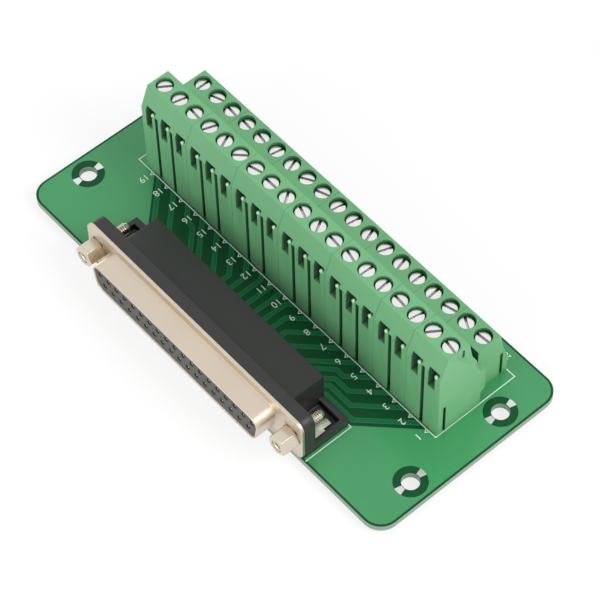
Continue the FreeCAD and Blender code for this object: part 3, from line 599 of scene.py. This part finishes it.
def tree_with(name, inputs):
    """A tree with geometry in and out and further named inputs, and its two end nodes."""
    tree = bpy.data.node_groups.new(name, "GeometryNodeTree")
    for label, kind in [("Geometry", "Geometry")] + inputs:
        tree.interface.new_socket(label, in_out="INPUT", socket_type="NodeSocket" + kind)
    tree.interface.new_socket("Geometry", in_out="OUTPUT", socket_type="NodeSocketGeometry")
    return tree, tree.nodes.new("NodeGroupInput"), tree.nodes.new("NodeGroupOutput")


def exact_boolean(tree, operation):
    node = tree.nodes.new("GeometryNodeMeshBoolean")
    node.operation = operation
    node.solver = "EXACT"
    return node


def drilled_tree(name):
    """A tree that plugs a rough well at each point of a second object and adds the fills of a third
    one, trims the block with a fourth, and sinks the finished round well."""
    tree, start, end = tree_with(name, [
        ("Places", "Object"), ("Fills", "Object"), ("Trim", "Object"), ("Radius", "Float"),
        ("Depth", "Float"), ("Plug Radius", "Float"), ("Plug Length", "Float"),
        ("Plug Drop", "Vector"), ("Sides", "Int"), ("Material", "Material")])
    places = tree.nodes.new("GeometryNodeObjectInfo")
    drill = tree.nodes.new("GeometryNodeMeshCylinder")
    spread = tree.nodes.new("GeometryNodeInstanceOnPoints")
    real = tree.nodes.new("GeometryNodeRealizeInstances")
    cut = exact_boolean(tree, "DIFFERENCE")
    plug = tree.nodes.new("GeometryNodeMeshCylinder")
    lower = tree.nodes.new("GeometryNodeTransform")
    plugs = tree.nodes.new("GeometryNodeInstanceOnPoints")
    real_plugs = tree.nodes.new("GeometryNodeRealizeInstances")
    join = exact_boolean(tree, "UNION")
    fills = tree.nodes.new("GeometryNodeObjectInfo")
    saw = tree.nodes.new("GeometryNodeObjectInfo")
    trim = exact_boolean(tree, "DIFFERENCE")
    paint = tree.nodes.new("GeometryNodeSetMaterial")
    link = tree.links.new
    link(start.outputs["Places"], places.inputs["Object"])
    link(start.outputs["Fills"], fills.inputs["Object"])
    link(start.outputs["Trim"], saw.inputs["Object"])
    link(start.outputs["Plug Radius"], plug.inputs["Radius"])
    link(start.outputs["Plug Length"], plug.inputs["Depth"])
    link(start.outputs["Sides"], plug.inputs["Vertices"])
    link(plug.outputs["Mesh"], lower.inputs["Geometry"])
    link(start.outputs["Plug Drop"], lower.inputs["Translation"])
    link(places.outputs["Geometry"], plugs.inputs["Points"])
    link(lower.outputs["Geometry"], plugs.inputs["Instance"])
    link(plugs.outputs["Instances"], real_plugs.inputs["Geometry"])
    link(start.outputs["Geometry"], join.inputs["Mesh 2"])
    link(real_plugs.outputs["Geometry"], join.inputs["Mesh 2"])
    link(fills.outputs["Geometry"], join.inputs["Mesh 2"])
    link(join.outputs["Mesh"], trim.inputs["Mesh 1"])
    link(saw.outputs["Geometry"], trim.inputs["Mesh 2"])
    link(start.outputs["Radius"], drill.inputs["Radius"])
    link(start.outputs["Depth"], drill.inputs["Depth"])
    link(start.outputs["Sides"], drill.inputs["Vertices"])
    link(places.outputs["Geometry"], spread.inputs["Points"])
    link(drill.outputs["Mesh"], spread.inputs["Instance"])
    link(spread.outputs["Instances"], real.inputs["Geometry"])
    link(trim.outputs["Mesh"], cut.inputs["Mesh 1"])
    link(real.outputs["Geometry"], cut.inputs["Mesh 2"])
    link(cut.outputs["Mesh"], paint.inputs["Geometry"])
    link(start.outputs["Material"], paint.inputs["Material"])
    link(paint.outputs["Geometry"], end.inputs["Geometry"])
    return tree


def set_inputs(modifier, tree, values):
    """Modifier inputs go by the socket's identifier."""
    for item in tree.interface.items_tree:
        if item.item_type == "SOCKET" and item.in_out == "INPUT" and item.name in values:
            modifier[item.identifier] = values[item.name]


def grown(mesh, tree, values, name):
    """The plain mesh that a tree makes from a start mesh."""
    holder = bpy.data.objects.new(name, mesh)
    bpy.context.scene.collection.objects.link(holder)
    modifier = holder.modifiers.new("tree", "NODES")
    modifier.node_group = tree
    set_inputs(modifier, tree, values)
    bpy.context.view_layer.update()
    made = bpy.data.meshes.new_from_object(holder.evaluated_get(bpy.context.evaluated_depsgraph_get()))
    bpy.data.objects.remove(holder)
    made.name = name
    return made


def points_object(name, places):
    mesh = bpy.data.meshes.new(name)
    mesh.from_pydata(places, [], [])
    holder = bpy.data.objects.new(name, mesh)
    bpy.context.scene.collection.objects.link(holder)
    return holder


well_tree = drilled_tree("screw wells")
housing_trim = prisms_along_x("housing trim", [(-TRIM_REACH, TRIM_REACH, UPPER_TRIM),
                                               (-TRIM_REACH, TRIM_REACH, LOWER_TRIM)])
drill_lift = DRILL_LENGTH / 2 - WELL_DEPTH
for block, (first_pole, last_pole) in enumerate(MODULES, start=1):
    well_places = []
    fills = []
    for pole in range(first_pole, last_pole + 1):
        well_places.append((upper_pin_x(pole) * MM, UPPER_Y * MM, (UPPER_HEAD + drill_lift) * MM))
        well_places.append((lower_pin_x(pole) * MM, LOWER_Y * MM, (LOWER_HEAD + drill_lift) * MM))
        fills.append((upper_pin_x(pole) + SLOT_LEFT, upper_pin_x(pole) + SLOT_RIGHT, SLOT_FILL))
    drill_points = points_object("well places", well_places)
    slot_fills = prisms_along_x("slot fills", fills)
    node_name = "terminal_block_%d" % block
    housing = grown(merged_copy(node_name, "housing start"), well_tree,
                    {"Places": drill_points, "Fills": slot_fills, "Trim": housing_trim,
                     "Radius": WELL_RADIUS * MM, "Depth": DRILL_LENGTH * MM,
                     "Plug Radius": PLUG_RADIUS * MM, "Plug Length": PLUG_LENGTH * MM,
                     "Plug Drop": (0.0, 0.0, (PLUG_LENGTH - DRILL_LENGTH) / 2 * MM), "Sides": ROUND_SIDES,
                     "Material": green_polyamide}, "terminal housing %d" % block)
    bpy.data.objects.remove(drill_points)
    bpy.data.objects.remove(slot_fills)
    smooth_round(housing)
    piece = as_piece("terminal_housing_%d" % block, housing, green_polyamide, "carrier")
    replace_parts(piece, node_name)
bpy.data.objects.remove(housing_trim)

# Painted highlights on the terminal housings
# A small glossy dome of lighter green beside the top of each front slot stands for the highlight there;
# its light colour is painted highlight.
STUD_PLACE = (1.25, -1.0, 22.45)
STUD_RADIUS = 0.5
STUD_SIDES = 16
STUD_STEPS = 10
highlight_green = textured("polyamide with painted highlight", (0.50, 0.84, 0.53), depth=0.05, roughness=0.3,
                          rough_spread=0.05, grain=5000.0, bump=0.004, coat=1.0, coat_roughness=0.25)


def repeated_tree(name):
    """A tree that sets a copy of the start mesh at each point of a second object."""
    tree, start, end = tree_with(name, [("Places", "Object"), ("Material", "Material")])
    places = tree.nodes.new("GeometryNodeObjectInfo")
    spread = tree.nodes.new("GeometryNodeInstanceOnPoints")
    real = tree.nodes.new("GeometryNodeRealizeInstances")
    paint = tree.nodes.new("GeometryNodeSetMaterial")
    link = tree.links.new
    link(start.outputs["Places"], places.inputs["Object"])
    link(places.outputs["Geometry"], spread.inputs["Points"])
    link(start.outputs["Geometry"], spread.inputs["Instance"])
    link(spread.outputs["Instances"], real.inputs["Geometry"])
    link(real.outputs["Geometry"], paint.inputs["Geometry"])
    link(start.outputs["Material"], paint.inputs["Material"])
    link(paint.outputs["Geometry"], end.inputs["Geometry"])
    return tree


def repeated(blank, places, material, name):
    """One mesh with a copy of the blank at each place. Places are in millimetres."""
    spots = points_object(name + " places", [(x * MM, y * MM, z * MM) for x, y, z in places])
    mesh = grown(blank, copies_tree, {"Places": spots, "Material": material}, name)
    bpy.data.objects.remove(spots)
    return mesh


copies_tree = repeated_tree("copies")


def turned(profile, sides):
    """A solid turned on the lathe from a profile of radius and height."""
    solid = bmesh.new()
    rows = []
    for radius, height in profile:
        if radius == 0:
            rows.append([solid.verts.new((0, 0, height * MM))])
            continue
        rows.append([solid.verts.new((radius * MM * math.cos(2 * math.pi * i / sides),
                                      radius * MM * math.sin(2 * math.pi * i / sides), height * MM))
                     for i in range(sides)])
    for upper, lower in zip(rows, rows[1:]):
        for i in range(sides):
            j = (i + 1) % sides
            kept = []
            for row, turn in ((upper, i), (lower, i), (lower, j), (upper, j)):
                if row[turn % len(row)] not in kept:
                    kept.append(row[turn % len(row)])
            if len(kept) > 2:
                solid.faces.new(kept)
    bmesh.ops.recalc_face_normals(solid, faces=solid.faces)
    mesh = bpy.data.meshes.new("turned")
    solid.to_mesh(mesh)
    solid.free()
    return mesh


stud_spots = [(upper_pin_x(pole) + STUD_PLACE[0], STUD_PLACE[1], STUD_PLACE[2]) for pole in POLES]
dome_profile = [(0, STUD_RADIUS)]
for step in range(1, STUD_STEPS):
    bend = math.pi * step / STUD_STEPS
    dome_profile.append((STUD_RADIUS * math.sin(bend), STUD_RADIUS * math.cos(bend)))
dome_profile.append((0, -STUD_RADIUS))
studs = repeated(turned(dome_profile, STUD_SIDES), stud_spots, highlight_green, "guide studs")
smooth_round(studs, 60.0)
as_piece("terminal_guide_studs", studs, highlight_green, "carrier")

# Terminal screws
# Steel cheese-head screws, zinc plated, with a sawn slot. Each one is turned down on its own wire,
# so the slots point every way. The shank carries a rolled thread.
HEAD_RADIUS = 1.76
HEAD_HEIGHT = 1.9
HEAD_EDGE = 0.14
HEAD_CROWN = 0.05
SLOT_WIDTH = 0.65
SLOT_DEPTH = 0.9
SLOT_SAW_LENGTH = 5.0
SHANK_RADIUS = 1.2
SHANK_END = 5.7
THREAD_PITCH = 0.5
THREAD_DEPTH = 0.22
# Each screw's slot angle in degrees, from pole 1.
UPPER_SLOTS = [170, 55, 80, 175, 95, 90, 165, 175, 120, 160, 125, 0, 15, 45, 115, 70, 175, 75, 55]
LOWER_SLOTS = [5, 150, 15, 95, 90, 105, 70, 110, 80, 80, 20, 30, 110, 80, 170, 175, 175, 20, 90]
# The zinc gets painted shade in the screws' slots and other narrow gaps.
zinc_plate = textured("bright zinc plate", (0.83, 0.83, 0.82), depth=0.14, metallic=1.0, roughness=0.24,
                      rough_spread=0.1, grain=3500.0, bump=0.012, painted_shade_reach=1.2, painted_shade_darkest=0.5)


def slotted_tree():
    """A tree that saws the driver's slot across a turned blank and turns it to its angle."""
    tree, start, end = tree_with("slotted screw", [
        ("Slot Size", "Vector"), ("Turn", "Vector"), ("Place", "Vector"), ("Material", "Material")])
    saw = tree.nodes.new("GeometryNodeMeshCube")
    cut = exact_boolean(tree, "DIFFERENCE")
    turn = tree.nodes.new("GeometryNodeTransform")
    real = tree.nodes.new("GeometryNodeRealizeInstances")
    paint = tree.nodes.new("GeometryNodeSetMaterial")
    link = tree.links.new
    link(start.outputs["Slot Size"], saw.inputs["Size"])
    link(start.outputs["Geometry"], cut.inputs["Mesh 1"])
    link(saw.outputs["Mesh"], cut.inputs["Mesh 2"])
    link(cut.outputs["Mesh"], turn.inputs["Geometry"])
    link(start.outputs["Turn"], turn.inputs["Rotation"])
    link(start.outputs["Place"], turn.inputs["Translation"])
    link(turn.outputs["Geometry"], real.inputs["Geometry"])
    link(real.outputs["Geometry"], paint.inputs["Geometry"])
    link(start.outputs["Material"], paint.inputs["Material"])
    link(paint.outputs["Geometry"], end.inputs["Geometry"])
    return tree


screw_profile = [(0, 0), (HEAD_RADIUS * 0.5, -HEAD_CROWN * 0.25)]
for step in range(5):
    bend = math.radians(90 * step / 4)
    screw_profile.append((HEAD_RADIUS - HEAD_EDGE + HEAD_EDGE * math.sin(bend),
                          -HEAD_CROWN - HEAD_EDGE * (1 - math.cos(bend))))
screw_profile += [(HEAD_RADIUS, -HEAD_HEIGHT + 0.1), (HEAD_RADIUS - 0.1, -HEAD_HEIGHT),
                  (SHANK_RADIUS, -HEAD_HEIGHT)]
thread_z = -HEAD_HEIGHT - THREAD_PITCH
while thread_z > -SHANK_END + THREAD_PITCH:
    root = SHANK_RADIUS - THREAD_DEPTH
    screw_profile += [(SHANK_RADIUS - 0.01, thread_z), (root, thread_z - THREAD_PITCH * 0.45),
                      (root, thread_z - THREAD_PITCH * 0.55)]
    thread_z -= THREAD_PITCH
screw_profile += [(SHANK_RADIUS - 0.01, thread_z), (SHANK_RADIUS - 0.3, -SHANK_END), (0, -SHANK_END)]
screw_blank = turned(screw_profile, 40)
screw_tree = slotted_tree()
for level, pin_x, row_y, head_z, slots in (("upper", upper_pin_x, UPPER_Y, UPPER_HEAD, UPPER_SLOTS),
                                           ("lower", lower_pin_x, LOWER_Y, LOWER_HEAD, LOWER_SLOTS)):
    for pole in POLES:
        node_name = "%s_screw_%d" % (level, pole)
        screw = grown(screw_blank, screw_tree,
                      {"Slot Size": (SLOT_SAW_LENGTH * MM, SLOT_WIDTH * MM, 2 * SLOT_DEPTH * MM),
                       "Turn": (0.0, 0.0, math.radians(slots[pole - 1])),
                       "Place": (pin_x(pole) * MM, row_y * MM, head_z * MM),
                       "Material": zinc_plate}, node_name + "_detailed")
        smooth_round(screw, 40.0)
        piece = as_piece("slotted_" + node_name, screw, zinc_plate, node_name)
        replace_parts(piece, node_name)

# Wire cages and terminal contacts
# The cages are folded from zinc plated steel strip. The contacts are tinned brass strip, and their
# tails pass through the board.
cage_plate = textured("zinc plated strip", (0.42, 0.42, 0.40), depth=0.2, metallic=1.0, roughness=0.35,
                      rough_spread=0.12, grain=3000.0, bump=0.02)
tinned_strip = textured("tinned brass", (0.66, 0.64, 0.58), depth=0.15, metallic=1.0, roughness=0.33,
                        rough_spread=0.1, grain=3000.0, bump=0.02)
refinish("upper_wire_cages", cage_plate)
refinish("lower_wire_cages", cage_plate)
refinish("upper_terminal_contacts", tinned_strip)
refinish("lower_terminal_contacts", tinned_strip)

# Socket shell and insulator
# The D shaped shell and its flange are one drawn sheet of nickel plated steel. The insulator is
# grey plastic with 37 countersunk contact holes.
warm_nickel = textured("warm nickel plate", (0.66, 0.58, 0.47), depth=0.12, metallic=1.0, roughness=0.36,
                       rough_spread=0.1, grain=2500.0, bump=0.015, edge=0.15)
# The insulator gets painted shade in its contact holes and recesses.
grey_insulator = textured("grey insulator", (0.085, 0.085, 0.083), depth=0.12, roughness=0.55,
                          rough_spread=0.08, grain=6000.0, bump=0.012, edge=0.08, painted_shade_reach=1.5,
                          painted_shade_darkest=0.25)
# The contact plating gets painted shade inside the barrels' bores.
contact_gold = textured("contact plating", (0.62, 0.56, 0.42), depth=0.1, metallic=1.0, roughness=0.3,
                        rough_spread=0.08, grain=6000.0, bump=0.01, painted_shade_reach=0.6, painted_shade_darkest=0.2)
SOCKET_X, SOCKET_Z = -0.3, 7.9
CONTACT_PITCH = 2.77
CONTACT_ROWS = [(19, 1.42), (18, -1.42)]
INSULATOR_FACE = -30.85
HOLE_COUNTERSINK = 1.75
HOLE_RADIUS = 0.62
BARREL_RADIUS = 0.5
BARREL_BORE = 0.29
BARREL_BACK = 0.28
BARREL_LENGTH = 2.0
LIP_DEPTH = 0.5


def row_of_contacts(count):
    return [SOCKET_X + (place - (count - 1) / 2) * CONTACT_PITCH for place in range(count)]


def facing_front(mesh):
    """Stands a turned blank on its side, with its top towards the front."""
    mesh.transform(Matrix.Rotation(math.radians(90), 4, "X"))
    return mesh


barrel_profile = [(BARREL_BORE, -BARREL_LENGTH), (BARREL_BORE, -0.1), (BARREL_BORE + 0.08, 0),
                  (BARREL_RADIUS - 0.04, 0), (BARREL_RADIUS, -0.04), (BARREL_RADIUS, -BARREL_LENGTH),
                  (BARREL_BORE, -BARREL_LENGTH)]
lip_outer = HOLE_COUNTERSINK / 2 + 0.06
lip_profile = [(HOLE_RADIUS, -LIP_DEPTH), (HOLE_RADIUS, -0.06), (HOLE_COUNTERSINK / 2, 0.05),
               (lip_outer, 0.0), (lip_outer, -0.02), (HOLE_RADIUS + 0.02, -LIP_DEPTH),
               (HOLE_RADIUS, -LIP_DEPTH)]
barrel_blank = facing_front(turned(barrel_profile, 14))
lip_blank = facing_front(turned(lip_profile, 18))
barrel_spots = []
lip_spots = []
for count, above in CONTACT_ROWS:
    for x in row_of_contacts(count):
        barrel_spots.append((x, INSULATOR_FACE + BARREL_BACK, SOCKET_Z + above))
        lip_spots.append((x, INSULATOR_FACE, SOCKET_Z + above))
barrels = repeated(barrel_blank, barrel_spots, contact_gold, "contact barrels")
smooth_round(barrels)
as_piece("contact_barrels", barrels, contact_gold, "carrier")
lips = repeated(lip_blank, lip_spots, grey_insulator, "contact hole lips")
smooth_round(lips)
as_piece("contact_hole_lips", lips, grey_insulator, "carrier")


def softened(node, material, width, name):
    """The CAD part's shape with its outer corners rounded, standing for that part."""
    holder = bpy.data.objects.new(name, merged_copy(node, name))
    bpy.context.scene.collection.objects.link(holder)
    rounding = holder.modifiers.new("rounding", "BEVEL")
    rounding.width = width * MM
    rounding.segments = 2
    rounding.limit_method = "ANGLE"
    rounding.angle_limit = math.radians(50)
    rounding.use_clamp_overlap = True
    bpy.context.view_layer.update()
    mesh = bpy.data.meshes.new_from_object(holder.evaluated_get(bpy.context.evaluated_depsgraph_get()))
    bpy.data.objects.remove(holder)
    smooth_round(mesh, 38.0)
    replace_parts(as_piece(name, mesh, material, "carrier"), node)


softened("dsub_shell", warm_nickel, 0.14, "drawn_shell")
refinish("dsub_insulator", grey_insulator)
refinish("dsub_contacts", tinned_strip)

# Socket housing
# A black glass-filled moulding carries the shell and covers the bent contact pins.
# It is clipped and soldered to the board by a spring strap at each end.
# The black moulding gets painted shade in its corners, recesses and where it meets the board.
black_plastic = textured("black moulding", (0.024, 0.0235, 0.024), depth=0.15, roughness=0.42,
                         rough_spread=0.08, grain=5000.0, bump=0.012, painted_shade_reach=8.0, painted_shade_darkest=0.3)
bright_tin = textured("bright tin strap", (0.86, 0.82, 0.72), depth=0.12, metallic=0.75, roughness=0.3,
                      rough_spread=0.1, grain=2500.0, bump=0.02, edge=0.1)
softened("dsub_housing", black_plastic, 0.25, "moulded_socket_housing")
softened("dsub_grounding_straps", bright_tin, 0.12, "bent_grounding_straps")

# Jackscrews
# Hexagonal nickel plated standoffs, turned to a chamfer at the free end and tapped with a fine
# thread. A threaded stud at the rear goes through the flange, the housing and the strap.
JACK_SPREAD = 31.75
JACK_FRONT, JACK_REAR, STUD_END = -30.2, -26.05, -17.85
JACK_FLATS = 4.8
JACK_BORE = 1.42
JACK_BORE_DEPTH = 3.6
STUD_THREAD = 1.4
# The turned nickel gets painted shade in the tapped bore and the thread grooves.
hex_nickel = textured("turned nickel", (0.68, 0.61, 0.50), depth=0.12, metallic=1.0, roughness=0.24,
                      rough_spread=0.08, grain=2500.0, bump=0.01, edge=0.12, painted_shade_reach=1.6,
                      painted_shade_darkest=0.3)


def threaded(radius, depth, start, end, pitch):
    """The profile of a thread from one height to another, as steps of radius and height."""
    steps = []
    height = start
    way = 1 if end > start else -1
    while abs(end - height) > pitch:
        steps += [(radius, height), (radius - depth, height + way * pitch * 0.45),
                  (radius - depth, height + way * pitch * 0.55)]
        height += way * pitch
    steps.append((radius, height))
    return steps


def cross_tree():
    """A tree that keeps what a blank and a prism have in common."""
    tree, start, end = tree_with("hexagon cut", [
        ("Corner Radius", "Float"), ("Length", "Float"), ("Material", "Material")])
    prism = tree.nodes.new("GeometryNodeMeshCylinder")
    prism.inputs["Vertices"].default_value = 6
    common = exact_boolean(tree, "INTERSECT")
    real = tree.nodes.new("GeometryNodeRealizeInstances")
    paint = tree.nodes.new("GeometryNodeSetMaterial")
    link = tree.links.new
    link(start.outputs["Corner Radius"], prism.inputs["Radius"])
    link(start.outputs["Length"], prism.inputs["Depth"])
    link(start.outputs["Geometry"], common.inputs["Mesh 2"])
    link(prism.outputs["Mesh"], common.inputs["Mesh 2"])
    link(common.outputs["Mesh"], real.inputs["Geometry"])
    link(real.outputs["Geometry"], paint.inputs["Geometry"])
    link(start.outputs["Material"], paint.inputs["Material"])
    link(paint.outputs["Geometry"], end.inputs["Geometry"])
    return tree


jack_length = JACK_REAR - JACK_FRONT
corner = JACK_FLATS / 2 / math.cos(math.radians(30))
jack_profile = [(0, -JACK_BORE_DEPTH), (JACK_BORE - 0.3, -JACK_BORE_DEPTH + 0.2)]
jack_profile += threaded(JACK_BORE, 0.22, -JACK_BORE_DEPTH + 0.5, -0.35, 0.45)
jack_profile += [(JACK_BORE + 0.05, 0), (JACK_FLATS / 2 - 0.3, 0), (corner + 0.1, -0.42),
                 (corner + 0.1, -jack_length + 0.2), (JACK_FLATS / 2, -jack_length), (0, -jack_length)]
jack_body = grown(turned(jack_profile, 36), cross_tree(),
                  {"Corner Radius": corner * MM, "Length": 3 * jack_length * MM, "Material": hex_nickel},
                  "jack body")
stud_length = STUD_END - JACK_REAR
stud_profile = [(0, 0.3), (STUD_THREAD - 0.1, 0.3), (STUD_THREAD - 0.1, -3.2)]
stud_profile += threaded(STUD_THREAD, 0.2, -3.4, -stud_length + 0.3, 0.5)
stud_profile += [(STUD_THREAD - 0.35, -stud_length), (0, -stud_length)]
stud_body = turned(stud_profile, 24)
stud_body.transform(Matrix.Translation((0, 0, -jack_length * MM)))
jack_join = bmesh.new()
jack_join.from_mesh(jack_body)
jack_join.from_mesh(stud_body)
jack_blank = bpy.data.meshes.new("jackscrew")
jack_join.to_mesh(jack_blank)
jack_join.free()
facing_front(jack_blank)
jack_spots = [(SOCKET_X + side * JACK_SPREAD, JACK_FRONT, SOCKET_Z) for side in (-1, 1)]
jacks = repeated(jack_blank, jack_spots, hex_nickel, "jackscrews")
smooth_round(jacks)
jack_piece = as_piece("threaded_jackscrews", jacks, hex_nickel, "carrier")
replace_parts(jack_piece, "dsub_jackscrews")

# Solder joints
# Every tail that comes through the board ends in a cone of solder on its tinned land underneath.
solder = textured("solder", (0.74, 0.74, 0.73), depth=0.1, metallic=1.0, roughness=0.25,
                  rough_spread=0.08, grain=3000.0, bump=0.02)
UPPER_PIN_Y, LOWER_PIN_Y = 1.19, 13.24
TAIL_ROWS = [(19, -15.96), (18, -18.5)]


def solder_cone(land, tail):
    return turned([(0, -1.0), (tail, -1.0), (tail + 0.12, -0.62), (tail + 0.32, -0.32), (land, -0.1),
                   (land, 0.0), (0, 0.0)], 20)


terminal_spots = []
for pole in POLES:
    terminal_spots.append((upper_pin_x(pole), UPPER_PIN_Y, 0))
    terminal_spots.append((lower_pin_x(pole), LOWER_PIN_Y, 0))
tail_spots = []
for count, row_y in TAIL_ROWS:
    tail_spots += [(x, row_y, 0) for x in row_of_contacts(count)]
for name, blank, spots in (("terminal_solder", solder_cone(1.15, 0.55), terminal_spots),
                           ("socket_solder", solder_cone(0.85, 0.4), tail_spots)):
    cones = repeated(blank, spots, solder, name.replace("_", " "))
    smooth_round(cones)
    as_piece(name, cones, solder, "carrier")
